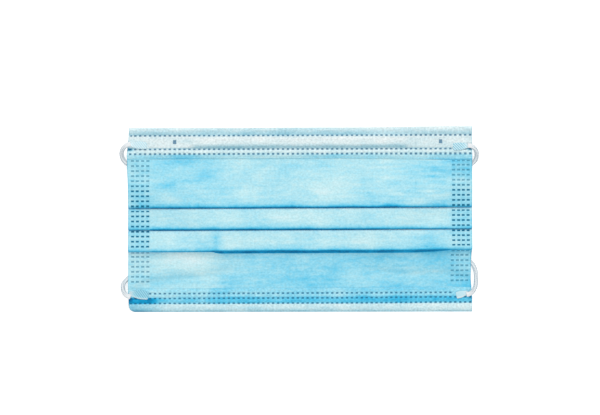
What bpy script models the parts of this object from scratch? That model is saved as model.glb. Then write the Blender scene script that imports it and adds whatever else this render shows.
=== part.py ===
"""A pleated surgical face mask, lying flat on its back with its front face up.

Metres, +Z up. X runs along the mask's width, Y towards its nose edge, and z = 0 is the surface that it lies on.
Each cloth is one folded sheet: the outline of its wall in Y and Z, extruded along X, and carried up wherever the
hidden part of an ear loop lies under it.
"""

import math

import bpy
import bmesh
from mathutils import Matrix, Vector

MM = 0.001

# The whole mask
WIDTH = 175.0 * MM
HEIGHT = 93.5 * MM
WALL = 1.0 * MM  # every cloth
GAP = 0.3 * MM  # between two pieces

# The pleated panel: three pleats that open downwards, each three layers deep
PANEL_TOP = 43.4 * MM
PANEL_BOTTOM = -42.4 * MM
PLEATS = 3
FIRST_FOLD = 6.25 * MM  # y of the highest of the three front folds
FOLD_SPACING = 11.07 * MM
PLEAT_DEPTH = 9.0 * MM  # from a front fold up to the hidden fold behind it
LAYER_STEP = 1.2 * MM  # one wall and the air between two layers
SHEET_TILT = 1.0 * MM  # how far a sheet rises by the fold that covers it
DRAPE_START = 24.5 * MM  # y where the upper span leaves the surface to climb the first pleat
FREE_STEP = 3.7 * MM  # spacing of the section's points on the free spans

# The hems: one sheet each, wrapped round the panel's edge
TOP_HEM_EDGE = 31.2 * MM
BOTTOM_HEM_EDGE = -34.5 * MM
HEM_RAMP = 3.4 * MM  # the panel comes down from the hem's back leg over this distance
FRONT_LEG = 2 * (WALL + GAP) + WALL / 2  # height of the centre line of a hem's front leg

# The nose wire, in the top hem between the panel and the hem's front leg
WIRE_LENGTH = 105.0 * MM
WIRE_WIDTH = 4.0 * MM
WIRE_THICK = 0.8 * MM
WIRE_Y = 40.1 * MM
RIDGE_SHOULDER = 2.5 * MM  # the hem falls from the wire's ridge over this distance
RIDGE_HALF = WIRE_WIDTH / 2 + GAP

# The lines along X where the hems, and the panel inside them, may bend
TOP_HEM_LINES = (
    33.2 * MM, WIRE_Y - RIDGE_HALF - RIDGE_SHOULDER, WIRE_Y - RIDGE_HALF, WIRE_Y, WIRE_Y + RIDGE_HALF,
)
BOTTOM_HEM_LINES = (-36.2 * MM, -38.2 * MM, -40.4 * MM)

# The ear loops: round elastic, with ends pressed flat where they are welded to the hems
LOOP_DIAMETER = 2.5 * MM
LOOP_POINT_STEP = 3.2 * MM
TAB_THICK = 1.0 * MM
TAB_EDGE = 0.3 * MM
TAB_SEAT = 0.45 * MM  # from a hem up to the pressed end on it

# The cloth over a hidden stretch of loop
LIFT = 3.0 * MM
LIFT_FLAT = 2.6 * MM  # the cloth is fully up this far to each side of the loop
LIFT_END = 9.0 * MM  # and back down on the surface this far away

# The worn lower left corner
CORNER_RISE = 6.0 * MM
CORNER_INSET = 2.2 * MM

# Each loop's route through its centre, from its upper weld to its lower one, in mm
LEFT_ROUTE = (
    (-85.7, 38.2, 5.3), (-87.2, 37.9, 5.3), (-88.8, 36.8, 4.95), (-90.0, 35.0, 4.1), (-90.35, 32.9, 3.0),
    (-89.8, 30.7, 2.0), (-88.4, 28.9, 1.4), (-86.4, 27.3, 1.27), (-83.4, 25.0, 1.27), (-78.6, 22.2, 1.27),
    (-72.0, 19.4, 1.27), (-63.5, 16.6, 1.27), (-54.6, 12.6, 1.27), (-47.2, 6.4, 1.27), (-43.0, -1.8, 1.27),
    (-43.0, -10.4, 1.27), (-48.2, -17.0, 1.27), (-57.0, -20.0, 1.27), (-67.5, -21.6, 1.27),
    (-77.0, -23.8, 1.27), (-84.0, -27.4, 1.27), (-87.6, -30.4, 1.35), (-89.15, -32.0, 2.1),
    (-89.75, -34.1, 3.3), (-89.5, -36.0, 4.4), (-88.7, -37.5, 5.2), (-87.4, -38.6, 5.65), (-85.7, -39.2, 5.6),
)
RIGHT_ROUTE = (
    (85.3, 37.6, 5.4), (87.0, 37.3, 5.45), (88.6, 36.2, 5.15), (89.65, 34.5, 4.3), (89.95, 32.3, 3.1),
    (89.4, 30.3, 2.1), (88.0, 28.8, 1.45), (86.1, 27.3, 1.27), (83.0, 25.1, 1.27), (78.4, 22.5, 1.27),
    (71.8, 19.6, 1.27), (63.2, 16.4, 1.27), (54.4, 12.2, 1.27), (47.2, 5.8, 1.27), (43.4, -2.0, 1.27),
    (43.8, -9.6, 1.27), (49.0, -15.2, 1.27), (57.6, -17.0, 1.27), (68.0, -17.0, 1.27), (78.6, -17.8, 1.27),
    (85.2, -20.2, 1.27), (87.8, -22.5, 1.3), (89.1, -25.1, 1.6), (89.6, -27.9, 2.4), (89.6, -30.8, 3.5),
    (89.2, -33.5, 4.4), (88.2, -35.8, 5.05), (86.6, -37.4, 5.25), (84.6, -38.0, 5.2),
)

# Each weld: its centre in mm, its turn in degrees, and its length and width in mm
WELDS = {
    "ear_loop_weld_top_left": (-80.1, 37.6, -5.0, 10.2, 5.0),
    "ear_loop_weld_top_right": (80.7, 36.9, 8.0, 8.2, 4.6),
    "ear_loop_weld_bottom_left": (-79.9, -38.2, 8.0, 10.2, 5.2),
    "ear_loop_weld_bottom_right": (81.4, -38.3, 8.0, 5.8, 4.2),
}

# Places along X where a cloth may bend, counted in from each side
LIFT_STATION = 3.6 * MM
PANEL_STATIONS = 15  # these reach past the loops' tips
HEM_STATIONS = 6  # and these past the loops' ends


def clear_scene():
    for item in list(bpy.data.objects):
        bpy.data.objects.remove(item, do_unlink=True)


def finish(name, colour, roughness):
    material = bpy.data.materials.new(name)
    material.use_nodes = True
    shader = material.node_tree.nodes["Principled BSDF"]
    shader.inputs["Base Color"].default_value = (*colour, 1.0)
    shader.inputs["Roughness"].default_value = roughness
    return material


def smooth_share(value):
    """0 to 1 with level ends."""
    share = min(max(value, 0.0), 1.0)
    return share * share * (3.0 - 2.0 * share)


def smooth_route(points, step):
    """The route read every step or so from a smooth curve through its points, which are in mm."""
    knots = [Vector(p) * MM for p in points]
    knots = [2 * knots[0] - knots[1], *knots, 2 * knots[-1] - knots[-2]]
    fine = []
    for a, b, c, d in zip(knots, knots[1:], knots[2:], knots[3:]):
        for tenth in range(10):
            t = tenth / 10
            fine.append(
                0.5 * (2 * b + (c - a) * t + (2 * a - 5 * b + 4 * c - d) * t ** 2
                       + (3 * b - a - 3 * c + d) * t ** 3)
            )
    fine.append(knots[-2])
    length = sum((q - p).length for p, q in zip(fine, fine[1:]))
    spans = round(length / step)
    even, walked, wanted = [fine[0]], 0.0, 1
    for p, q in zip(fine, fine[1:]):
        piece = (q - p).length
        while wanted < spans and walked + piece >= wanted * length / spans:
            even.append(p.lerp(q, (wanted * length / spans - walked) / piece))
            wanted += 1
        walked += piece
    return [*even, fine[-1]]


def hidden_points():
    """The points of both loops that lie on the surface, where the cloth has to pass over them."""
    routes = [smooth_route(route, MM) for route in (LEFT_ROUTE, RIGHT_ROUTE)]
    return [p.xy for p in sum(routes, []) if p.z < LOOP_DIAMETER * 0.7 and abs(p.x) < WIDTH / 2]


HIDDEN = hidden_points()


def lift(x, y):
    """How far the cloth is carried up by a loop under it."""
    away = min((Vector((x, y)) - p).length for p in HIDDEN)
    return LIFT * smooth_share((LIFT_END - away) / (LIFT_END - LIFT_FLAT))


def wire_ridge(x, y):
    """How far the top hem's front leg is pushed up by the nose wire under it."""
    height = WIRE_THICK + GAP
    past_end = abs(x) - WIRE_LENGTH / 2 - GAP
    past_side = abs(y - WIRE_Y) - RIDGE_HALF
    return height * min(max(1 - max(past_end, past_side, 0) / RIDGE_SHOULDER, 0), 1)


def corner_inset(y):
    """How far the worn corner is cut back from the left side, at this height."""
    share = min(max((-HEIGHT / 2 + CORNER_RISE - y) / CORNER_RISE, 0), 1)
    return CORNER_INSET * share ** 2


def bend(y, z, radius, way):
    """The inner points of a half turn that bulges to +Y or -Y."""
    turns = (45, 0, -45) if way < 0 else (-45, 0, 45)
    return [
        (y + way * radius * math.cos(math.radians(a)), z + radius * math.sin(math.radians(a)))
        for a in turns
    ]


def spread(start, end, step):
    """Values from start to end, both included, about a step apart."""
    count = max(round(abs(end - start) / step), 1)
    return [start + (end - start) * i / count for i in range(count + 1)]


def seat_height(y):
    """How far the panel is up on the back leg of a hem."""
    inside = max(y - TOP_HEM_EDGE, BOTTOM_HEM_EDGE - y) + 2 * GAP
    return (WALL + GAP) * min(max(1 + inside / HEM_RAMP, 0), 1)


def panel_section():
    """The pleated sheet's centre line, from the nose edge to the chin edge."""
    ramp_top = TOP_HEM_EDGE - 2 * GAP
    ramp_bottom = BOTTOM_HEM_EDGE + 2 * GAP
    turn = (LAYER_STEP + WALL) / 2  # from a fold's outermost line to the middle of its bend
    hidden_fold = FIRST_FOLD + PLEAT_DEPTH
    section = [(y, seat_height(y)) for y in (PANEL_TOP, *reversed(TOP_HEM_LINES), TOP_HEM_EDGE, ramp_top)]
    section += [(ramp_top - HEM_RAMP, 0.0)]
    climb = DRAPE_START - hidden_fold
    section += [
        (y, 2 * LAYER_STEP * smooth_share((DRAPE_START - y) / climb))
        for y in spread(DRAPE_START, hidden_fold, FREE_STEP)[:-1]
    ]
    for pleat in range(PLEATS):
        fold = FIRST_FOLD - pleat * FOLD_SPACING
        hidden_fold = fold + PLEAT_DEPTH
        tilt = SHEET_TILT if pleat < PLEATS - 1 else 0.0
        inner, outer = fold + turn, hidden_fold - turn

        def height(y):
            return tilt * (hidden_fold - y) / PLEAT_DEPTH

        across = [outer, (inner + outer) / 2, inner]
        section += [(y, height(y) + 2 * LAYER_STEP) for y in (hidden_fold, *across)]
        section += bend(inner, height(inner) + 1.5 * LAYER_STEP, LAYER_STEP / 2, -1)
        section += [(y, height(y) + LAYER_STEP) for y in reversed(across)]
        section += reversed(bend(outer, height(outer) + 0.5 * LAYER_STEP, LAYER_STEP / 2, 1))
        section += [(y, height(y)) for y in (*across, fold)]
    last_fold = FIRST_FOLD - (PLEATS - 1) * FOLD_SPACING
    section += [(y, 0.0) for y in spread(last_fold, ramp_bottom + HEM_RAMP, FREE_STEP)[1:]]
    section += [(y, seat_height(y)) for y in (ramp_bottom, BOTTOM_HEM_EDGE, *BOTTOM_HEM_LINES, PANEL_BOTTOM)]
    return [(y, z + WALL / 2) for y, z in section]


def hem_section(free_edge, outer_edge, lines):
    """A hem's centre line: its front leg, the turn round the panel's edge, and its back leg."""
    way = 1 if outer_edge > free_edge else -1
    radius = (FRONT_LEG - WALL / 2) / 2
    turn = outer_edge - way * (radius + WALL / 2)
    along = [free_edge, *lines, turn]
    section = [(y, FRONT_LEG) for y in along]
    section += sorted(bend(turn, WALL / 2 + radius, radius, way), key=lambda p: -p[1])
    return section + [(y, WALL / 2) for y in reversed(along)]


def stations(count, extra=()):
    """Places along X from one side to the other: close together at the sides, and none in the plain middle."""
    side = [WIDTH / 2 - i * LIFT_STATION for i in range(count + 1)]
    side += list(extra)
    return sorted([-x for x in side] + side)


def wall_outline(section):
    """The closed outline of a cloth's wall, laid evenly to both sides of its centre line."""
    line = [Vector(p) for p in section]
    above, below = [], []
    for i, point in enumerate(line):
        arriving = (point - line[i - 1]).normalized() if i else (line[1] - point).normalized()
        leaving = (line[i + 1] - point).normalized() if i < len(line) - 1 else arriving
        along = (arriving + leaving).normalized()
        side = Vector((-along.y, along.x)) * WALL / 2 / along.dot(arriving)
        above.append(point - side)
        below.append(point + side)
    return above + below[::-1]


def folded_sheet(name, section, places, material, ridge=None):
    """One sheet of cloth: its wall's outline extruded along X from place to place, and then draped."""
    form = bmesh.new()
    ring = [form.verts.new((places[0], y, z)) for y, z in wall_outline(section)]
    end = form.faces.new(ring)
    for here, there in zip(places, places[1:]):
        grown = bmesh.ops.extrude_face_region(form, geom=[end])["geom"]
        if here != places[0]:
            form.faces.remove(end)
        end = next(item for item in grown if isinstance(item, bmesh.types.BMFace))
        bmesh.ops.translate(form, vec=(there - here, 0, 0), verts=end.verts)
    bmesh.ops.recalc_face_normals(form, faces=form.faces)
    for vert in form.verts:
        x, y, z = vert.co
        raised = ridge(x, y) if ridge and z > FRONT_LEG - WALL else 0.0
        vert.co.z += lift(x, y) + raised
        if x < places[0] + WALL:
            vert.co.x += corner_inset(y)
    # Layers that lie over each other are split along the same diagonals, so that they stay clear
    bmesh.ops.triangulate(form, faces=form.faces, quad_method="SHORT_EDGE", ngon_method="EAR_CLIP")
    mesh = bpy.data.meshes.new(name)
    form.to_mesh(mesh)
    form.free()
    mesh.shade_smooth()
    mesh.set_sharp_from_angle(angle=math.radians(50))
    return place_mesh(name, mesh, material)


def place_mesh(name, mesh, material):
    mesh.materials.append(material)
    item = bpy.data.objects.new(name, mesh)
    bpy.context.scene.collection.objects.link(item)
    return item


def nose_wire(material):
    """A flat strip with rounded ends, on the panel inside the top hem."""
    form = bmesh.new()
    bmesh.ops.create_cube(form, size=1.0)
    bmesh.ops.scale(form, vec=(WIRE_LENGTH, WIRE_WIDTH, WIRE_THICK), verts=form.verts)
    upright = [e for e in form.edges if abs(e.verts[0].co.z - e.verts[1].co.z) > WIRE_THICK / 2]
    bmesh.ops.bevel(
        form, geom=upright, offset=1.2 * MM, offset_type="OFFSET", segments=3, profile=0.5,
        affect="EDGES", material=-1,
    )
    height = 2 * WALL + 2 * GAP + WIRE_THICK / 2
    bmesh.ops.translate(form, vec=(0, WIRE_Y, height), verts=form.verts)
    mesh = bpy.data.meshes.new("nose_wire")
    form.to_mesh(mesh)
    form.free()
    return place_mesh("nose_wire", mesh, material)


def ear_loop(name, route, material):
    curve = bpy.data.curves.new(name, "CURVE")
    curve.dimensions = "3D"
    curve.bevel_depth = LOOP_DIAMETER / 2
    curve.bevel_resolution = 2
    curve.use_fill_caps = True
    curve.render_resolution_u = 0
    points = smooth_route(route, LOOP_POINT_STEP)
    spline = curve.splines.new("POLY")
    spline.points.add(len(points) - 1)
    for point, place in zip(spline.points, points):
        point.co = (*place, 1.0)
    curve.materials.append(material)
    loop = bpy.data.objects.new(name, curve)
    bpy.context.scene.collection.objects.link(loop)
    return loop


def weld_tab(name, x, y, turn, length, width, material):
    """The loop's end pressed flat on a hem, which it follows."""
    form = bmesh.new()
    bmesh.ops.create_grid(form, x_segments=4, y_segments=2, size=0.5)
    bmesh.ops.scale(form, vec=(length * MM, width * MM, 1.0), verts=form.verts)
    bmesh.ops.rotate(form, matrix=Matrix.Rotation(math.radians(turn), 3, "Z"), verts=form.verts)
    bmesh.ops.translate(form, vec=(x * MM, y * MM, 0), verts=form.verts)
    for vert in form.verts:
        vert.co.z = FRONT_LEG + WALL / 2 + TAB_SEAT + TAB_THICK / 2 + lift(*vert.co.xy)
    mesh = bpy.data.meshes.new(name)
    form.to_mesh(mesh)
    form.free()
    tab = place_mesh(name, mesh, material)
    wall = tab.modifiers.new("pressed end", "SOLIDIFY")
    wall.thickness = TAB_THICK
    wall.offset = 0.0
    edge = tab.modifiers.new("soft edge", "BEVEL")
    edge.width = TAB_EDGE
    edge.segments = 1
    edge.limit_method = "ANGLE"
    edge.angle_limit = math.radians(50)
    return tab


def main():
    clear_scene()
    blue_cloth = finish("blue spunbond cloth", (0.40, 0.74, 0.87), 0.8)
    top_cloth = finish("white spunbond, top hem", (0.75, 0.86, 0.90), 0.8)
    bottom_cloth = finish("white spunbond, bottom hem", (0.70, 0.85, 0.91), 0.8)
    coated_wire = finish("white coated wire", (0.85, 0.87, 0.88), 0.4)

    folded_sheet("pleated_panel", panel_section(), stations(PANEL_STATIONS), blue_cloth)
    ridge_ends = (WIRE_LENGTH / 2 + GAP + RIDGE_SHOULDER, WIRE_LENGTH / 2 + GAP)
    folded_sheet(
        "top_hem", hem_section(TOP_HEM_EDGE, HEIGHT / 2, TOP_HEM_LINES),
        stations(HEM_STATIONS, ridge_ends), top_cloth, wire_ridge,
    )
    folded_sheet(
        "bottom_hem", hem_section(BOTTOM_HEM_EDGE, -HEIGHT / 2, (*BOTTOM_HEM_LINES, PANEL_BOTTOM)),
        stations(HEM_STATIONS), bottom_cloth,
    )
    nose_wire(coated_wire)
    for name, route in (("ear_loop_left", LEFT_ROUTE), ("ear_loop_right", RIGHT_ROUTE)):
        ear_loop(name, route, finish("white elastic of " + name, (0.86, 0.87, 0.90), 0.85))
    for name, (x, y, turn, length, width) in WELDS.items():
        pressed = finish("pressed elastic of " + name, (0.80, 0.88, 0.92), 0.7)
        weld_tab(name, x, y, turn, length, width, pressed)


main()
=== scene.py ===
"""A pleated surgical face mask lying flat on a white table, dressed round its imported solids.

Metres, +Z up. X runs along the mask's width, Y towards its nose edge, and z = 0 is the table. Each cloth
starts as the outline of its wall in Y and Z, is extruded along X, gets its weld dots, and is then draped
over the ear loops.
"""

import math

import bmesh
import bpy
from mathutils import Matrix, Vector, kdtree, noise


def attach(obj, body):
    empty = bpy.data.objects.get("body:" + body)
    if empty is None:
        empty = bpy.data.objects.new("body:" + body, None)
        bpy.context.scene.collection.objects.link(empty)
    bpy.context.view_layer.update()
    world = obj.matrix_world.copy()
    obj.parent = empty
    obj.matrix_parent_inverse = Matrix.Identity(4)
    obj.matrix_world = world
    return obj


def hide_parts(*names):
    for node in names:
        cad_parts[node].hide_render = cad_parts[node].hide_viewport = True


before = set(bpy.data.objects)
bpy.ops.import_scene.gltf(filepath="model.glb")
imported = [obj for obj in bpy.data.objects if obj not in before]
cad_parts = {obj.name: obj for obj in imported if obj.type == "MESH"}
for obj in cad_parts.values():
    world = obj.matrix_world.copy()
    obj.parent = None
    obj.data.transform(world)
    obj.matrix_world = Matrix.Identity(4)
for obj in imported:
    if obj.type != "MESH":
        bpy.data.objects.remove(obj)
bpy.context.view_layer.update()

MM = 0.001

# ---- sizes shared with the solids ----
WIDTH = 175.0 * MM
HEIGHT = 93.5 * MM
WALL = 1.0 * MM  # a solid's cloth
GAP = 0.3 * MM
PANEL_TOP = 43.4 * MM
PANEL_BOTTOM = -42.4 * MM
FIRST_FOLD = 6.25 * MM
FOLD_SPACING = 11.07 * MM
PLEATS = 3
LAYER_STEP = 1.2 * MM
TOP_HEM_EDGE = 31.2 * MM
BOTTOM_HEM_EDGE = -34.5 * MM
FRONT_LEG = 2 * (WALL + GAP) + WALL / 2
WIRE_LENGTH = 105.0 * MM
WIRE_Y = 40.1 * MM
WIRE_RISE = 1.1 * MM
LOOP_DIAMETER = 2.5 * MM  # of the solids
CORD_DIAMETER = 2.2 * MM  # of the shown elastic, pulled a little thinner

# Each loop's route through its centre, from its upper weld to its lower one, in mm
ROUTES = {
    "left": (
        (-85.7, 38.2, 5.3), (-87.2, 37.9, 5.3), (-88.8, 36.8, 4.95), (-90.0, 35.0, 4.1),
        (-90.35, 32.9, 3.0), (-89.8, 30.7, 2.0), (-88.4, 28.9, 1.4), (-86.4, 27.3, 1.27),
        (-83.4, 25.0, 1.27), (-78.6, 22.2, 1.27), (-72.0, 19.4, 1.27), (-63.5, 16.6, 1.27),
        (-54.6, 12.6, 1.27), (-47.2, 6.4, 1.27), (-43.0, -1.8, 1.27), (-43.0, -10.4, 1.27),
        (-48.2, -17.0, 1.27), (-57.0, -20.0, 1.27), (-67.5, -21.6, 1.27), (-77.0, -23.8, 1.27),
        (-84.0, -27.4, 1.27), (-87.6, -30.4, 1.35), (-89.15, -32.0, 2.1), (-89.75, -34.1, 3.3),
        (-89.5, -36.0, 4.4), (-88.7, -37.5, 5.2), (-87.4, -38.6, 5.65), (-85.7, -39.2, 5.6),
    ),
    "right": (
        (85.3, 37.6, 5.4), (87.0, 37.3, 5.45), (88.6, 36.2, 5.15), (89.65, 34.5, 4.3),
        (89.95, 32.3, 3.1), (89.4, 30.3, 2.1), (88.0, 28.8, 1.45), (86.1, 27.3, 1.27),
        (83.0, 25.1, 1.27), (78.4, 22.5, 1.27), (71.8, 19.6, 1.27), (63.2, 16.4, 1.27),
        (54.4, 12.2, 1.27), (47.2, 5.8, 1.27), (43.4, -2.0, 1.27), (43.8, -9.6, 1.27),
        (49.0, -15.2, 1.27), (57.6, -17.0, 1.27), (68.0, -17.0, 1.27), (78.6, -17.8, 1.27),
        (85.2, -20.2, 1.27), (87.8, -22.5, 1.3), (89.1, -25.1, 1.6), (89.6, -27.9, 2.4),
        (89.6, -30.8, 3.5), (89.2, -33.5, 4.4), (88.2, -35.8, 5.05), (86.6, -37.4, 5.25),
        (84.6, -38.0, 5.2),
    ),
}

# ---- what only the looks need ----
# Each weld as the photo has it: centre in mm, turn in degrees, length and width in mm, how deep its colour
# is, and how much the die's hatching shows in it
PATCHES = {
    "top_left": (-81.6, 38.0, -3.0, 8.2, 3.8, 0.0, 0.46),
    "top_right": (81.3, 36.9, 4.0, 7.0, 3.9, 0.04, 0.76),
    "bottom_left": (-80.9, -37.6, -6.0, 8.4, 4.6, 0.42, 0.40),
    "bottom_right": (81.7, -38.2, 15.0, 4.8, 3.6, 0.30, 0.0),
}
CLOTH = 0.8 * MM  # the shown panel's thickness
WRAP = 0.6 * MM  # the shown hems' thickness
PLEAT_DEPTH = 9.6 * MM
SHEET_TILT = 1.0 * MM
LAST_TILT = 0.7 * MM
SEAT = WALL + GAP  # how far the panel is up on the back leg of a hem
FOLDS = tuple(FIRST_FOLD - i * FOLD_SPACING for i in range(PLEATS))

# Weld dots: rows across the side bands, columns in them, and rows along the hems
BAND_ROWS = 25
BAND_TOP_ROW = 30.13 * MM
BAND_ROW_STEP = 2.553 * MM
BAND_DOT = (1.7 * MM, 1.1 * MM)
BAND_COLUMNS = tuple(x * MM for x in (-84.75, -82.3, -79.65, -77.05, 78.1, 80.7, 83.0, 85.5))
BAND_EDGE = 75.6 * MM
RIM = 0.45 * MM  # width of the darker line down each side
PLAIN_SHADE = 0.12  # the depth of colour where the cloth doesn't show in front
HEM_DOTS = 70
HEM_DOT_FIRST = -85.9 * MM
HEM_DOT_STEP = 2.499 * MM
HEM_DOT = (1.4 * MM, 1.15 * MM)
SPOT = (1.9 * MM, 2.2 * MM)
SPOT_COLUMNS = (9, 63)  # the two single welds beside the nose wire's ends
TOP_ROWS = (42.7 * MM, 35.8 * MM, 33.5 * MM, 39.5 * MM)  # the last holds only the two single welds
BOTTOM_ROWS = (-37.2 * MM, -39.65 * MM, -42.25 * MM)
DOT_DEPTH = 0.16 * MM
DOT_SLOPE = 0.2 * MM


def smooth_share(value):
    """0 to 1 with level ends."""
    share = min(max(value, 0.0), 1.0)
    return share * share * (3.0 - 2.0 * share)


def profile(table, place):
    """The value at a place, straight between (place, value) pairs whose places go downwards."""
    if place >= table[0][0]:
        return table[0][1]
    for (high, first), (low, second) in zip(table, table[1:]):
        if place >= low:
            return second + (first - second) * (place - low) / (high - low)
    return table[-1][1]


def smooth_route(points, step):
    """The route read every step or so from a smooth curve through its points, which are in mm."""
    knots = [Vector(p) * MM for p in points]
    knots = [2 * knots[0] - knots[1], *knots, 2 * knots[-1] - knots[-2]]
    fine = []
    for a, b, c, d in zip(knots, knots[1:], knots[2:], knots[3:]):
        for part in range(12):
            t = part / 12
            fine.append(
                0.5 * (2 * b + (c - a) * t + (2 * a - 5 * b + 4 * c - d) * t ** 2
                       + (3 * b - a - 3 * c + d) * t ** 3)
            )
    fine.append(knots[-2])
    length = sum((q - p).length for p, q in zip(fine, fine[1:]))
    spans = round(length / step)
    even, walked, wanted = [fine[0]], 0.0, 1
    for p, q in zip(fine, fine[1:]):
        piece = (q - p).length
        while wanted < spans and walked + piece >= wanted * length / spans:
            even.append(p.lerp(q, (wanted * length / spans - walked) / piece))
            wanted += 1
        walked += piece
    return [*even, fine[-1]]


# ---- materials ----


def linear(code):
    """An sRGB hex colour as linear red, green, blue and an alpha of 1."""
    parts = [int(code[i:i + 2], 16) / 255 for i in (1, 3, 5)]
    return (*[p / 12.92 if p <= 0.04045 else ((p + 0.055) / 1.055) ** 2.4 for p in parts], 1.0)


def add(tree, kind, sockets=None, **settings):
    """Adds a node. Settings go by name, and sockets by name or number, with a value or another socket."""
    node = tree.nodes.new(kind)
    for name, value in settings.items():
        setattr(node, name, value)
    for key, value in (sockets or {}).items():
        if isinstance(value, bpy.types.NodeSocket):
            tree.links.new(value, node.inputs[key])
        else:
            node.inputs[key].default_value = value
    return node


def stops(ramp, colours):
    """Fills a colour ramp from (place, hex colour) pairs."""
    elements = ramp.color_ramp.elements
    while len(elements) < len(colours):
        elements.new(0.5)
    for element, (place, code) in zip(elements, colours):
        element.position = place
        element.color = linear(code)


def new_material(name):
    """An empty material with its shader, ready for nodes."""
    material = bpy.data.materials.new(name)
    material.use_nodes = True
    tree = material.node_tree
    tree.nodes.clear()
    shader = add(tree, "ShaderNodeBsdfPrincipled")
    add(tree, "ShaderNodeOutputMaterial", {"Surface": shader.outputs["BSDF"]})
    return material, tree, shader


# The cloth's colours, from thin and bright to deep: the blue ply, a white wrap, and the plain inner ply
BLUE_TONES = (
    (0.0, "#DDF2F4"), (0.22, "#BFE9F0"), (0.42, "#98DBEE"), (0.6, "#5FC8EA"), (0.76, "#28B0DE"),
    (0.88, "#009CCF"), (1.0, "#0078AC"),
)
WHITE_TONES = (
    (0.0, "#EEF4F3"), (0.22, "#D3E7EB"), (0.42, "#AFD4DF"), (0.6, "#8DBFCF"), (0.8, "#5595B2"),
    (1.0, "#2A7396"),
)
INNER_TONE = "#EEF3F5"


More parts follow.
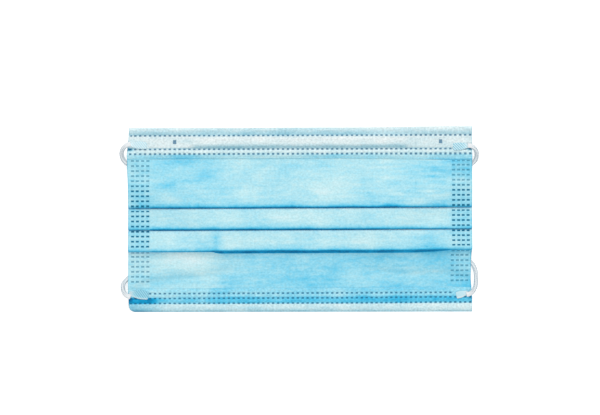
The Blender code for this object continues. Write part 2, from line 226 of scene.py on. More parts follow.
def spunbond(name, cloud, streak, wisp, grain, film_tone, film_share):
    """Polypropylene spunbond: matt, slightly fuzzy, cloudy where fibres lie thicker, with fine bond points.

    The attribute "shade" says how deep the colour is, painted shade at the folds, round the nose wire's
    ridge and under the cords included, "see_through" how much the blue ply shows, "pressed" where a weld has
    turned the fibres to film, "ply" which face of the wall it is, and "cut" the place on the flat cloth in
    mm.
    """
    material, tree, shader = new_material(name)
    cut = add(tree, "ShaderNodeAttribute", attribute_name="cut").outputs["Vector"]
    shade = add(tree, "ShaderNodeAttribute", attribute_name="shade").outputs["Fac"]
    through = add(tree, "ShaderNodeAttribute", attribute_name="see_through").outputs["Fac"]
    pressed = add(tree, "ShaderNodeAttribute", attribute_name="pressed").outputs["Fac"]
    ply = add(tree, "ShaderNodeAttribute", attribute_name="ply").outputs["Fac"]

    # Fibre clouds about 12 mm across, drawn-out streaks about 2 mm apart, and wisps of about 1.5 mm
    patterns = (
        ((1 / 15, 1 / 10, 1.0), 3.0, cloud),
        ((1 / 14, 1 / 1.9, 1.0), 2.0, streak),
        ((1 / 2.4, 1 / 1.4, 1.0), 2.0, wisp),
    )
    total = shade
    fibres = None
    for scale, detail, strength in patterns:
        spread = add(tree, "ShaderNodeMapping", {"Vector": cut, "Scale": scale})
        clouds = add(
            tree, "ShaderNodeTexNoise",
            {"Vector": spread.outputs["Vector"], "Scale": 1.0, "Detail": detail, "Roughness": 0.55},
        )
        centred = add(
            tree, "ShaderNodeMath", {0: clouds.outputs["Fac"], 1: 0.5}, operation="SUBTRACT",
        )
        total = add(
            tree, "ShaderNodeMath", {0: centred.outputs[0], 1: strength, 2: total}, operation="MULTIPLY_ADD",
        ).outputs[0]
        fibres = clouds.outputs["Fac"]

    blue_ramp = add(tree, "ShaderNodeValToRGB", {"Fac": total})
    stops(blue_ramp, BLUE_TONES)
    white_ramp = add(tree, "ShaderNodeValToRGB", {"Fac": total})
    stops(white_ramp, WHITE_TONES)
    front = add(
        tree, "ShaderNodeMix",
        {0: through, 6: white_ramp.outputs["Color"], 7: blue_ramp.outputs["Color"]}, data_type="RGBA",
    )
    # Under a weld the fibres are a dark clear film
    melted = add(tree, "ShaderNodeMath", {0: pressed, 1: film_share}, operation="MULTIPLY")
    film = add(
        tree, "ShaderNodeMix",
        {0: melted.outputs[0], 6: front.outputs[2], 7: linear(film_tone)}, data_type="RGBA",
    )
    outer = add(tree, "ShaderNodeMath", {0: ply, 1: 0.45}, operation="GREATER_THAN")
    plain = add(
        tree, "ShaderNodeMix",
        {0: outer.outputs[0], 6: linear(INNER_TONE), 7: film.outputs[2]}, data_type="RGBA",
    )
    # Single fibres are too fine to show, so bundles of them are drawn as lighter and darker flecks of 1 mm
    flecks = add(tree, "ShaderNodeMapping", {"Vector": cut, "Scale": (1 / 1.1, 1 / 0.9, 1.0)})
    fleck_noise = add(
        tree, "ShaderNodeTexNoise", {"Vector": flecks.outputs["Vector"], "Scale": 1.0, "Detail": 2.0},
    )
    fleck_light = add(
        tree, "ShaderNodeMapRange",
        {0: fleck_noise.outputs["Fac"], 1: 0.2, 2: 0.8, 3: 0.98 - grain, 4: 0.98 + grain},
    )
    colour = add(
        tree, "ShaderNodeHueSaturation", {"Color": plain.outputs[2], "Value": fleck_light.outputs[0]},
    )

    # Bond points: 0.5 mm dots on a diagonal lattice 1.3 mm apart, as the heated roll leaves them
    lattice = add(
        tree, "ShaderNodeMapping",
        {"Vector": cut, "Rotation": (0.0, 0.0, math.radians(45)), "Scale": (1 / 1.3, 1 / 1.3, 1.0)},
    )
    points = add(
        tree, "ShaderNodeTexVoronoi", {"Vector": lattice.outputs["Vector"], "Scale": 1.0, "Randomness": 0.0},
        voronoi_dimensions="2D",
    )
    bonds = add(
        tree, "ShaderNodeMapRange", {0: points.outputs["Distance"], 1: 0.16, 2: 0.26, 3: 0.0, 4: 1.0},
    )
    height = add(
        tree, "ShaderNodeMath", {0: fibres, 1: 0.8, 2: bonds.outputs[0]}, operation="MULTIPLY_ADD",
    )
    bump = add(
        tree, "ShaderNodeBump", {"Height": height.outputs[0], "Strength": 0.35, "Distance": 0.08 * MM},
    )
    gloss = add(
        tree, "ShaderNodeMapRange", {0: pressed, 1: 0.0, 2: 1.0, 3: 0.82, 4: 0.62},
    )
    tree.links.new(colour.outputs["Color"], shader.inputs["Base Color"])
    tree.links.new(gloss.outputs[0], shader.inputs["Roughness"])
    tree.links.new(bump.outputs["Normal"], shader.inputs["Normal"])
    shader.inputs["IOR"].default_value = 1.49
    shader.inputs["Specular IOR Level"].default_value = 0.2
    shader.inputs["Sheen Weight"].default_value = 0.05
    shader.inputs["Sheen Roughness"].default_value = 0.6
    return material


def elastic(name, tone):
    """Knitted polyester and spandex cord: matt white yarn, with painted shade, blue-grey, between its ribs
    and at its sides; on the welds the same attribute gives their own colour and hatching.
    """
    material, tree, shader = new_material(name)
    place = add(tree, "ShaderNodeTexCoord").outputs["Object"]
    tone_and_shade = add(tree, "ShaderNodeAttribute", attribute_name="tone_and_shade").outputs["Fac"]
    # Loose ends of the yarn, about 0.4 mm apart
    fuzz = add(
        tree, "ShaderNodeTexNoise",
        {"Vector": place, "Scale": 1 / (0.385 * MM), "Detail": 2.0, "Roughness": 0.6},
    )
    deep = add(
        tree, "ShaderNodeMath", {0: fuzz.outputs["Fac"], 1: 0.25, 2: tone_and_shade}, operation="MULTIPLY_ADD",
    )
    ramp = add(tree, "ShaderNodeValToRGB", {"Fac": deep.outputs[0]})
    stops(ramp, tone)
    bump = add(
        tree, "ShaderNodeBump", {"Height": fuzz.outputs["Fac"], "Strength": 0.4, "Distance": 0.1 * MM},
    )
    tree.links.new(ramp.outputs["Color"], shader.inputs["Base Color"])
    tree.links.new(bump.outputs["Normal"], shader.inputs["Normal"])
    shader.inputs["Roughness"].default_value = 0.85
    shader.inputs["Sheen Weight"].default_value = 0.2
    return material


def wire_coating():
    """Polyethylene skin over soft steel wire: satin white plastic with fine lengthwise drawing lines."""
    material, tree, shader = new_material("white polyethylene coating")
    place = add(tree, "ShaderNodeTexCoord").outputs["Object"]
    # Die lines 0.4 mm apart and some 17 mm long
    drawn = add(
        tree, "ShaderNodeMapping",
        {"Vector": place, "Scale": (1 / (16.7 * MM), 1 / (0.4 * MM), 1 / (0.4 * MM))},
    )
    lines = add(
        tree, "ShaderNodeTexNoise", {"Vector": drawn.outputs["Vector"], "Scale": 1.0, "Detail": 2.0},
    )
    ramp = add(tree, "ShaderNodeValToRGB", {"Fac": lines.outputs["Fac"]})
    stops(ramp, ((0.3, "#DDE1E3"), (0.7, "#F0F2F3")))
    bump = add(
        tree, "ShaderNodeBump", {"Height": lines.outputs["Fac"], "Strength": 0.3, "Distance": 0.05 * MM},
    )
    tree.links.new(ramp.outputs["Color"], shader.inputs["Base Color"])
    tree.links.new(bump.outputs["Normal"], shader.inputs["Normal"])
    shader.inputs["Roughness"].default_value = 0.38
    shader.inputs["IOR"].default_value = 1.51
    return material


# ---- the camera and the ear loops ----

CAMERA_HEIGHT = 1.5
VIEW_WIDTH = 304.6 * MM  # what the picture takes in, at the height of the mask's front
VIEW_CENTRE = (0.2 * MM, 6.1 * MM)
FRONT_HEIGHT = 3.0 * MM


def camera():
    """Straight above, and far enough up that the mask's sides don't lean."""
    eye = bpy.data.cameras.new("camera")
    eye.sensor_width = 36.0
    eye.lens = eye.sensor_width * (CAMERA_HEIGHT - FRONT_HEIGHT) / VIEW_WIDTH
    eye.clip_end = 10.0
    stand = bpy.data.objects.new("camera", eye)
    stand.location = (*VIEW_CENTRE, CAMERA_HEIGHT)
    bpy.context.scene.collection.objects.link(stand)
    bpy.context.scene.camera = stand


def place_mesh(name, form, material):
    """The finished bmesh as an object at the origin, with its place in its mesh."""
    mesh = bpy.data.meshes.new(name)
    form.to_mesh(mesh)
    form.free()
    mesh.shade_smooth()
    mesh.materials.append(material)
    item = bpy.data.objects.new(name, mesh)
    bpy.context.scene.collection.objects.link(item)
    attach(item, "root")
    return item


CORD_SIDES = 16
CORD_STEP = 0.4 * MM
KNIT_RIBS = 5  # ribs round the cord
KNIT_TURN = 9.0 * MM  # length in which a rib goes once round
STITCH = 0.9 * MM
KNIT_DEPTH = 0.07  # share of the radius
FLAT_END = 4.5 * MM  # how far from its weld an end starts to flatten
FLAT_THICKNESS = 0.30  # share of the radius that is left up and down where it is flattest
FLAT_WIDTH = 1.12
# painted shade: how much deeper the cord's colour is where its sides turn away from the eye
SIDE_SHADE = 0.38  # how much deeper the cord's colour is where it turns away from the eye


def ear_loop(side, material):
    """Round knitted elastic along its route, pressed flatter and wider where each end runs into its weld."""
    route = smooth_route(ROUTES[side], CORD_STEP)
    form = bmesh.new()
    tone_and_shade = form.verts.layers.float.new("tone_and_shade")
    around = form.verts.layers.float.new("around")
    radius = CORD_DIAMETER / 2
    made = bmesh.ops.create_circle(form, cap_ends=False, segments=CORD_SIDES, radius=radius)
    ring = made["verts"]
    along = (route[1] - route[0]).normalized()
    turned = Vector((0, 0, 1)).rotation_difference(along).to_matrix()
    for vert in ring:
        vert[around] = math.atan2(vert.co.y, vert.co.x)
        vert.co = turned @ vert.co
    edges = form.edges[:]
    bmesh.ops.translate(form, vec=route[0], verts=ring)
    rings = [ring]
    # each ring is the one before it, swung into the route's new direction, so that the cord has no twist
    for here, there, beyond in zip(route, route[1:], [*route[2:], 2 * route[-1] - route[-2]]):
        grown = bmesh.ops.extrude_edge_only(form, edges=edges)["geom"]
        ring = [g for g in grown if isinstance(g, bmesh.types.BMVert)]
        edges = [g for g in grown if isinstance(g, bmesh.types.BMEdge)]
        ahead = (beyond - here).normalized()
        swing = along.rotation_difference(ahead).to_matrix().to_4x4()
        bmesh.ops.translate(form, vec=-here, verts=ring)
        bmesh.ops.transform(form, matrix=swing, verts=ring)
        bmesh.ops.translate(form, vec=there, verts=ring)
        along = ahead
        rings.append(ring)
    whole = len(rings)
    for number, (ring, centre) in enumerate(zip(rings, route)):
        from_start = number * CORD_STEP
        to_end = (whole - 1 - number) * CORD_STEP
        flat = smooth_share(1 - min(from_start, to_end) / FLAT_END)
        for vert in ring:
            arm = vert.co - centre
            sideways = math.hypot(arm.x, arm.y) / radius
            rib = math.cos(KNIT_RIBS * vert[around] + 2 * math.pi * from_start / KNIT_TURN)
            stitch = math.cos(2 * math.pi * from_start / STITCH + 2 * vert[around])
            # 1 where the grooves between ribs and stitches cross, and nearly 0 on the crowns
            low = (0.65 - 0.35 * rib) * (0.65 - 0.35 * stitch)
            arm *= 1 + KNIT_DEPTH * (0.45 - low) * (1 - flat)
            arm.z *= 1 - (1 - FLAT_THICKNESS) * flat
            level = Vector((arm.x, arm.y, 0)) * (1 + (FLAT_WIDTH - 1) * flat)
            vert.co = centre + level + Vector((0, 0, arm.z))
            # painted shade: deeper in the knit's grooves and at the cord's sides, less where the end is
            # pressed flat
            vert[tone_and_shade] = (low + SIDE_SHADE * min(sideways, 1.0) ** 3) * (1 - 0.6 * flat)
    bmesh.ops.holes_fill(form, edges=[e for e in form.edges if e.is_boundary], sides=CORD_SIDES)
    bmesh.ops.recalc_face_normals(form, faces=form.faces)
    name = "ear_loop_" + side + "_knit"
    loop = place_mesh(name, form, material)
    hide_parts("ear_loop_" + side)
    return loop


# ---- how the cloth lies ----


def hidden_tree():
    """The points of both loops that lie on the table, for finding how near the cloth is to one."""
    points = []
    for route in ROUTES.values():
        points += [p for p in smooth_route(route, MM) if p.z < LOOP_DIAMETER * 0.7 and abs(p.x) < WIDTH / 2]
    tree = kdtree.KDTree(len(points))
    for number, point in enumerate(points):
        tree.insert((point.x, point.y, 0.0), number)
    tree.balance()
    return tree


HIDDEN = hidden_tree()


# How far the lowest sheet has to rise over a loop, in mm, by y in mm: less where it is already up on its own
LIFT_NEEDED = (
    (33.0, 3.0), (29.0, 1.9), (24.0, 1.35), (20.0, 1.8), (16.5, 2.65), (-15.5, 2.65), (-19.0, 1.95),
    (-27.0, 1.8), (-31.0, 2.3), (-34.5, 3.0),
)

HEM_SWELL = 9.0 * MM  # how far from a hidden loop the cloth starts to rise at the hems
PANEL_SWELL = 22.0 * MM  # the same in the panel
SWELL_CROWN = 2.6 * MM  # how far from the loop it stops rising


def lift(x, y):
    """How far a loop under the cloth carries it up: a tight swell at the hems, a broad one in the panel."""
    away = HIDDEN.find((x, y, 0.0))[2]
    in_panel = smooth_share((31 * MM - abs(y)) / (10 * MM))
    reach = HEM_SWELL + (PANEL_SWELL - HEM_SWELL) * in_panel
    return profile(LIFT_NEEDED, y / MM) * MM * smooth_share((reach - away) / (reach - SWELL_CROWN))


CREASE_SIZE = (19 * MM, 2.1 * MM)
CREASE_HEIGHT = 0.10 * MM
WAVE_SIZE = (31 * MM, 17 * MM)
WAVE_HEIGHT = 0.35 * MM


def ripple(x, y):
    """Low creases along the cloth's width, and a slight unevenness, in metres and never below the table."""
    creases = noise.noise(Vector((x / CREASE_SIZE[0], y / CREASE_SIZE[1], 3.0)))
    waves = noise.noise(Vector((x / WAVE_SIZE[0], y / WAVE_SIZE[1], 11.0)))
    off_the_bands = smooth_share((WIDTH / 2 - abs(x) - 10 * MM) / (10 * MM))
    return (CREASE_HEIGHT * (1 + creases) + WAVE_HEIGHT * (1 + waves)) * off_the_bands


# How much the mask's lines rise towards the right, in the chin hem, the pleats and the nose hem
CHIN_SLOPE = 0.0015
PLEAT_SLOPE = 0.0045
NOSE_SLOPE = 0.0031


def sway(x, y):
    """The mask is not quite square: its lines rise a little towards the right, some more than others."""
    slope = CHIN_SLOPE + (PLEAT_SLOPE - CHIN_SLOPE) * smooth_share((y + HEIGHT / 2) / (8 * MM))
    slope += (NOSE_SLOPE - PLEAT_SLOPE) * smooth_share((y - 26 * MM) / (8 * MM))
    right = smooth_share((x - 20 * MM) / (60 * MM))
    nose_edge = 0.5 * smooth_share((y - 42 * MM) / (4 * MM))
    hem_edge = -0.7 * math.exp(-((y - TOP_HEM_EDGE) / (1.5 * MM)) ** 2)
    chin_rows = 0.3 * math.exp(-((y + 41 * MM) / (2.5 * MM)) ** 2)
    last_fold = 0.5 * math.exp(-((y - FOLDS[-1]) / (3.5 * MM)) ** 2)
    last_fold *= smooth_share((x - 50 * MM) / (30 * MM))
    nose_rows = 0.12 * smooth_share((y - 32 * MM) / (3 * MM))
    return x * slope + (right * (nose_edge + hem_edge + chin_rows) + last_fold + nose_rows - 0.15) * MM


def side_shift(x, y):
    """How far the sides lean in: at the left, most in the worn lower corner, and low down at the right."""
    near = smooth_share((-x - 84.0 * MM) / (3.5 * MM))
    rim = smooth_share((-x - 85.7 * MM) / (1.8 * MM))
    lean = 0.9 * MM * smooth_share((y - 34 * MM) / (12 * MM)) * near
    lean += 0.5 * MM * smooth_share((26 * MM - y) / (8 * MM)) * rim
    lean += 0.2 * MM * smooth_share((-36 * MM - y) / (3 * MM)) * rim
    share = min(max((-HEIGHT / 2 + 6 * MM - y) / (6 * MM), 0), 1)
    worn = (0.9 * share ** 2 + 2.2 * share ** 9) * MM * smooth_share((-x - 80 * MM) / (7.5 * MM))
    right = -0.6 * MM * smooth_share((x - 74 * MM) / (3 * MM)) * smooth_share((-16 * MM - y) / (1 * MM))
    right *= smooth_share((y + 38 * MM) / (5 * MM))
    return lean + worn + right


def settle(form, ridge=None):
    """Carries a flat form's points to where the lying cloth has them."""
    for vert in form.verts:
        x, y, z = vert.co
        raised = ridge(x, y) if ridge and z > FRONT_LEG - WALL else 0.0
        vert.co = (x + side_shift(x, y), y + sway(x, y), z + lift(x, y) + ripple(x, y) + raised)


# ---- the cloths ----


def spaced(start, end, step, marks=()):
    """Places from start down to end with every mark between them, no further apart than a step."""
    inner = sorted((m for m in marks if end + 0.15 * MM < m < start - 0.15 * MM), reverse=True)
    places = [start]
    for mark in [*inner, end]:
        count = max(math.ceil((places[-1] - mark) / step - 0.01), 1)
        before = places[-1]
        places += [before + (mark - before) * i / count for i in range(1, count + 1)]
    return places


def dot_rows(folds):
    """(upper, lower) edges of each row of dots in the side bands.

    A row that would touch a fold is moved clear of it, and one that lies on a fold shows its lower part
    alone.
    """
    rows = []
    height = BAND_DOT[1]
    clear = 0.4 * MM
    for number in range(BAND_ROWS):
        middle = BAND_TOP_ROW - number * BAND_ROW_STEP
        edges = (middle + height / 2, middle - height / 2)
        for fold in folds:
            above = middle - fold
            if abs(above) < 0.1 * MM:
                edges = (fold - 0.2 * MM, fold - 0.9 * MM)
            elif 0 < above < height / 2 + clear:
                edges = (fold + clear + height, fold + clear)
            elif 0 > above > -height / 2 - clear:
                edges = (fold - clear, fold - clear - height)
        rows.append(edges)
    return rows


ROWS = dot_rows(FOLDS)
ROW_MARKS = [y for row in ROWS for y in row]


def half_turn(y, z, radius, way, steps=7):
    """The inner points of a half turn that bulges to +Y or -Y, from its top to its bottom."""
    angles = [math.pi / 2 - math.pi * (i + 1) / (steps + 1) for i in range(steps)]
    return [(y + way * radius * math.cos(a), z + radius * math.sin(a)) for a in angles]


def lower_span(y):
    """Height of the span between the last fold and the chin hem, whose back leg it rides on."""
    fall = LAST_TILT * (1 - smooth_share((FOLDS[-1] - y) / (9 * MM)))
    lowest = 0.45 * MM
    return max(fall, lowest) + (SEAT - lowest) * smooth_share((BOTTOM_HEM_EDGE + 9 * MM - y) / (9 * MM))


def pleat_section(fold, tilt):
    """One pleat: its front layer down to the fold, the layer behind it going up, and the last one down."""
    turn = (LAYER_STEP + CLOTH) / 2
    hidden_fold = fold + PLEAT_DEPTH
    inner, outer = fold + turn, hidden_fold - turn
    behind = [outer, (inner + outer) / 2, inner]

    def height(y):
        return tilt * (hidden_fold - y) / PLEAT_DEPTH

    front = spaced(hidden_fold, inner + 1.6 * MM, 1.0 * MM, ROW_MARKS)
    front += spaced(inner + 1.25 * MM, inner, 0.32 * MM, ROW_MARKS)
    section = [(y, height(y) + 2 * LAYER_STEP, 1) for y in front]
    bulge = half_turn(inner, height(inner) + 1.5 * LAYER_STEP, LAYER_STEP / 2, -1)
    section += [(y, z, 1) for y, z in bulge]
    section += [(y, height(y) + LAYER_STEP, 0) for y in reversed(behind)]
    bulge = half_turn(outer, height(outer) + 0.5 * LAYER_STEP, LAYER_STEP / 2, 1)
    section += [(y, z, 0) for y, z in bulge]
    return section + [(y, height(y), 0) for y in (*behind, fold + 0.3 * MM)]


def climb_section(start, end):
    """The sheet between two pleats: it climbs onto the next one's layers, steeply at first."""
    rise = 2 * LAYER_STEP - SHEET_TILT
    return [
        (y, SHEET_TILT + rise * math.sin(math.pi / 2 * (start - y) / (start - end)), 1)
        for y in spaced(start, end + 0.15 * MM, 0.25 * MM, ROW_MARKS)
    ]


def panel_section():
    """(y, z, shown) of the pleated sheet's centre line, from the nose edge to the chin edge."""
    first_hidden = FIRST_FOLD + PLEAT_DEPTH
    climb = TOP_HEM_EDGE - first_hidden
    section = [(y, SEAT, 0) for y in spaced(PANEL_TOP, TOP_HEM_EDGE + 2 * MM, 3 * MM)]
    section += [
        (y, SEAT + (2 * LAYER_STEP - SEAT) * smooth_share((TOP_HEM_EDGE - y) / climb), 1)
        for y in spaced(TOP_HEM_EDGE + 1 * MM, first_hidden + 0.8 * MM, 1.0 * MM, ROW_MARKS)
    ]
    for fold, next_fold in zip(FOLDS, FOLDS[1:]):
        section += pleat_section(fold, SHEET_TILT)
        section += climb_section(fold, next_fold + PLEAT_DEPTH)
    section += pleat_section(FOLDS[-1], LAST_TILT)
    below = spaced(FOLDS[-1], FOLDS[-1] - 1.5 * MM, 0.3 * MM, ROW_MARKS)
    below += spaced(FOLDS[-1] - 2 * MM, BOTTOM_HEM_EDGE, 1.0 * MM, ROW_MARKS)
    section += [(y, lower_span(y), 1) for y in below]
    section += [(y, SEAT, 0) for y in spaced(BOTTOM_HEM_EDGE - MM, PANEL_BOTTOM, 3 * MM)]
    return [(y, z + WALL / 2, shown) for y, z, shown in section]


def wall_outline(section, thickness):
    """The closed outline of a cloth's wall as (y, z, shown, ply, way along the cloth in mm)."""
    line = [Vector(p[:2]) for p in section]
    front, back = [], []
    walked = 0.0
    for i, point in enumerate(line):
        if i:
            walked += (point - line[i - 1]).length
        arriving = (point - line[i - 1]).normalized() if i else (line[1] - point).normalized()
        leaving = (line[i + 1] - point).normalized() if i < len(line) - 1 else arriving
        middle = (arriving + leaving).normalized()
        side = Vector((-middle.y, middle.x)) * thickness[i] / 2 / max(middle.dot(arriving), 0.5)
        front.append((*(point - side), section[i][2], 1.0, walked / MM))
        back.append((*(point + side), 0, 0.0, walked / MM))
    return front + back[::-1]


def extruded_cloth(outline, places):
    """The outline drawn out along X from place to place, with what its material needs kept on its points."""
    form = bmesh.new()
    shown = form.verts.layers.float.new("shown")
    ply = form.verts.layers.float.new("ply")
    cut = form.verts.layers.float_vector.new("cut")
    ring = []
    for y, z, is_shown, side, walked in outline:
        vert = form.verts.new((places[0], y, z))
        vert[shown] = is_shown
        vert[ply] = side
        vert[cut] = (0.0, walked, side)
        ring.append(vert)
    end = form.faces.new(ring)
    for here, there in zip(places, places[1:]):
        grown = bmesh.ops.extrude_face_region(form, geom=[end])["geom"]
        if here != places[0]:
            form.faces.remove(end)
        end = next(item for item in grown if isinstance(item, bmesh.types.BMFace))
        bmesh.ops.translate(form, vec=(there - here, 0, 0), verts=end.verts)
    bmesh.ops.recalc_face_normals(form, faces=form.faces)
    for vert in form.verts:
        vert[cut] = (vert.co.x / MM, vert[cut][1], vert[cut][2])
    return form


def press_dots(form, windows):
    """Sinks a small sloping pit into the cloth's face in each (left, right, lower, upper) window."""
    shown = form.verts.layers.float["shown"]
    pressed = form.verts.layers.float.new("pressed")
    chosen = []
    for face in form.faces:
        if face.normal.z < 0.35 or any(v[shown] < 0.5 for v in face.verts):
            continue
        middle = face.calc_center_median()
        if windows(middle.x, middle.y):
            chosen.append(face)
    bmesh.ops.inset_region(
        form, faces=chosen, thickness=DOT_SLOPE, depth=-DOT_DEPTH, use_boundary=True, use_even_offset=True,
        use_interpolate=True,
    )
    for face in chosen:
        for vert in face.verts:
            vert[pressed] = 1.0


def tone(form, shade_at, through_at):
    """Keeps on each point how deep its colour is, and how much the blue ply shows."""
    shown = form.verts.layers.float["shown"]
    shade = form.verts.layers.float.new("shade")
    through = form.verts.layers.float.new("see_through")
    for vert in form.verts:
        x, y = vert.co.x / MM, vert.co.y / MM
        in_front = vert[shown] > 0.5
        vert[shade] = shade_at(x, y) if in_front else PLAIN_SHADE
        vert[through] = through_at(x, y) if in_front else 0.0


def column_places(columns, width):
    """Both edges of each column of welds."""
    return [x + side * width / 2 for x in columns for side in (-1, 1)]


# Soft marks in the panel's blue, mostly clouds in the cloth, some painted shade over the hidden left loop:
# centre, half length and half height in mm, turn in degrees, how much deeper
MARKS = (
    # painted shade where the hidden left loop lifts the cloth: at (-68, 17.5) along its upper strand and at
    # (-42.3, -9.5) at its tip
    (-68.0, 17.5, 7.0, 2.2, 4.0, 0.18), (-46.5, 21.5, 8.0, 4.2, 6.0, 0.13),
    (-60.0, 30.0, 14.0, 2.6, 0.0, 0.14), (-27.0, 14.0, 8.0, 4.0, 0.0, -0.12),
    (15.0, 15.0, 11.0, 6.0, 0.0, -0.12), (-64.0, 10.5, 5.0, 2.5, 0.0, -0.08),
    (69.0, 26.0, 8.0, 7.0, 0.0, 0.11), (33.0, 13.0, 9.0, 3.0, -6.0, 0.05),
    (-4.0, 1.0, 14.0, 3.4, 0.0, -0.10), (62.0, 1.5, 10.0, 3.0, 0.0, -0.04),
    (-27.0, -11.0, 13.0, 3.4, 0.0, -0.06), (-42.3, -9.5, 2.3, 5.2, 0.0, 0.15),
    (30.0, -11.0, 16.0, 3.4, 0.0, -0.06), (-58.0, -20.5, 14.0, 4.8, 0.0, -0.21),
    (-34.0, -31.0, 7.0, 3.0, 0.0, 0.05), (-5.0, -29.5, 10.0, 3.6, 0.0, 0.08),
    (14.0, -27.5, 7.0, 4.0, 0.0, 0.05), (58.0, -27.5, 10.0, 3.0, 8.0, -0.08),
    (31.0, -26.0, 7.0, 4.0, 0.0, -0.05), (40.0, -19.5, 16.0, 2.2, 0.0, 0.06),
    (-79.0, -26.0, 9.0, 7.0, 0.0, 0.04), (-66.0, -30.5, 13.0, 3.2, 0.0, 0.09),
    (-64.0, 21.0, 15.0, 8.0, 0.0, 0.07), (-36.0, 11.5, 36.0, 4.0, 0.0, 0.06),
    (-28.0, -25.0, 26.0, 4.0, 0.0, -0.05), (70.0, -20.0, 9.0, 7.0, 0.0, 0.09),
    (8.0, -33.0, 18.0, 2.6, 0.0, 0.04), (69.0, -10.5, 9.0, 4.5, 0.0, 0.10),
    (-4.0, -10.5, 18.0, 3.4, 0.0, 0.04),
)


def marks(x, y):
    """How much deeper the blue is here than around its soft marks, painted shade over the hidden loop among
    them.
    """
    total = 0.0
    for middle_x, middle_y, long_half, short_half, turn, deeper in MARKS:
        across, up = x - middle_x, y - middle_y
        c, s = math.cos(math.radians(turn)), math.sin(math.radians(turn))
        u, v = (across * c + up * s) / long_half, (up * c - across * s) / short_half
        total += deeper * math.exp(-(u * u + v * v))
    return 1.3 * total


# painted shadow: the tone of the slit under each fold
SLIT_SHADOW_TONE = 0.90


def crease(x, y):
    """Painted shade at each fold, as a pair: deeper blue along the rounded edge of the upper sheet, partly
    the plies lying edge-on there, and a painted shadow, darkest in the slit under it.
    """
    fold_edge_shade, slit_shadow = 0.0, 0.0
    band = smooth_share((abs(x) - BAND_EDGE / MM + 1) / 2)
    for number, fold in enumerate(FOLDS):
        above = y - fold / MM
        if number == 0:
            half = 0.26 - 0.12 * smooth_share((x - 40) / 30) - 0.06 * smooth_share((-x - 60) / 14)
        elif number == 1:
            half = 0.32 - 0.18 * smooth_share((x - 25) / 30)
        else:
            half = 0.12 + 0.56 * smooth_share((x + 46) / 6) - 0.42 * smooth_share((x - 60) / 18)
        half *= 1 - 0.6 * band
        if -0.1 < above < 5:
            near, far = math.exp(-(max(above, 0) / 1.3) ** 2), math.exp(-(max(above, 0) / 2.8) ** 2)
            fold_edge_shade = (0.28 * near + 0.12 * far) * (1 - 0.5 * band)
        middle = -0.20 * smooth_share((half - 0.3) / 0.2) if number == 2 else 0.0
        depth = (1 - 0.35 * band) * (1.1 if number == 2 else 1.0)
        slit_shadow = max(slit_shadow, smooth_share((half + 0.2 - abs(above - middle)) / 0.2) * depth)
    return fold_edge_shade, slit_shadow


def rim_shade(x):
    """The cut edge of the plies reads as a thin darker line down each side."""
    return 0.22 * smooth_share((abs(x) - WIDTH / 2 / MM + RIM / MM) / 0.3)


def panel_shade(x, y):
    """How deep the panel's blue is: palest at the lower left, deeper in the side bands, with painted shade
    at the folds, on the lowest sheet right of the hidden loop's tip, and in some marks.
    """
    band = smooth_share((abs(x) - BAND_EDGE / MM) / 0.8)
    fold_edge_shade, slit_shadow = crease(x, y)
    middle_rows = smooth_share((y + 17) / 2) * smooth_share((22 - y) / 8)
    upper_right = smooth_share((x - 60) / 20) * smooth_share((y - 18) / 8)
    level = 0.31
    if y < FOLDS[2] / MM:
        # painted shade: right of the hidden left loop's tip the lowest sheet lies lower, in the last fold's
        # shadow
        level += 0.02 + 0.11 * smooth_share((x + 44) / 7)
        level -= (0.10 if x < 0 else 0.03) * band
    elif y < FOLDS[0] / MM:
        level -= 0.03
    elif y < TOP_HEM_EDGE / MM:
        wave = noise.noise(Vector((x / 13, y / 1.5, 7.0)))
        level += 0.16 * wave * smooth_share((x - 28) / 14) * smooth_share((BAND_EDGE / MM - x) / 6)
    level += band * (0.06 + 0.03 * middle_rows) + 0.13 * upper_right
    level += marks(x, y) * (1 - 0.6 * band) + fold_edge_shade + rim_shade(x)
    return level + (SLIT_SHADOW_TONE - level) * slit_shadow


def band_tone(y):
    """Dots are darkest in the middle rows, where every layer of a pleat is welded."""
    return 0.62 + 0.38 * smooth_share((y + 16.5) / 1.5) * smooth_share((19 - y) / 3)


def in_band_dot(x, y):
    """Whether a point is in a weld of a side band."""
    half = BAND_DOT[0] / 2
    if not any(abs(x - column) < half for column in BAND_COLUMNS):
        return False
    return any(low < y < high for high, low in ROWS)


def pleated_panel(material):
    """The folded blue cloth, with its side bands of welds."""
    columns = column_places(BAND_COLUMNS, BAND_DOT[0])
    edges = [side * x for side in (-1, 1) for x in (WIDTH / 2, WIDTH / 2 - RIM, BAND_EDGE)]
    middle = [-BAND_EDGE + (2 * BAND_EDGE) * i / 100 for i in range(1, 100)]
    places = sorted([*columns, *edges, *middle])
    section = panel_section()
    outline = wall_outline(section, [CLOTH] * len(section))
    form = extruded_cloth(outline, places)
    press_dots(form, in_band_dot)
    pressed = form.verts.layers.float["pressed"]
    for vert in form.verts:
        if vert[pressed] > 0.5:
            vert[pressed] = band_tone(vert.co.y / MM)
    tone(form, panel_shade, lambda x, y: 1.0)
    settle(form)
    panel = place_mesh("pleated_panel_cloth", form, material)
    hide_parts("pleated_panel")
    return panel


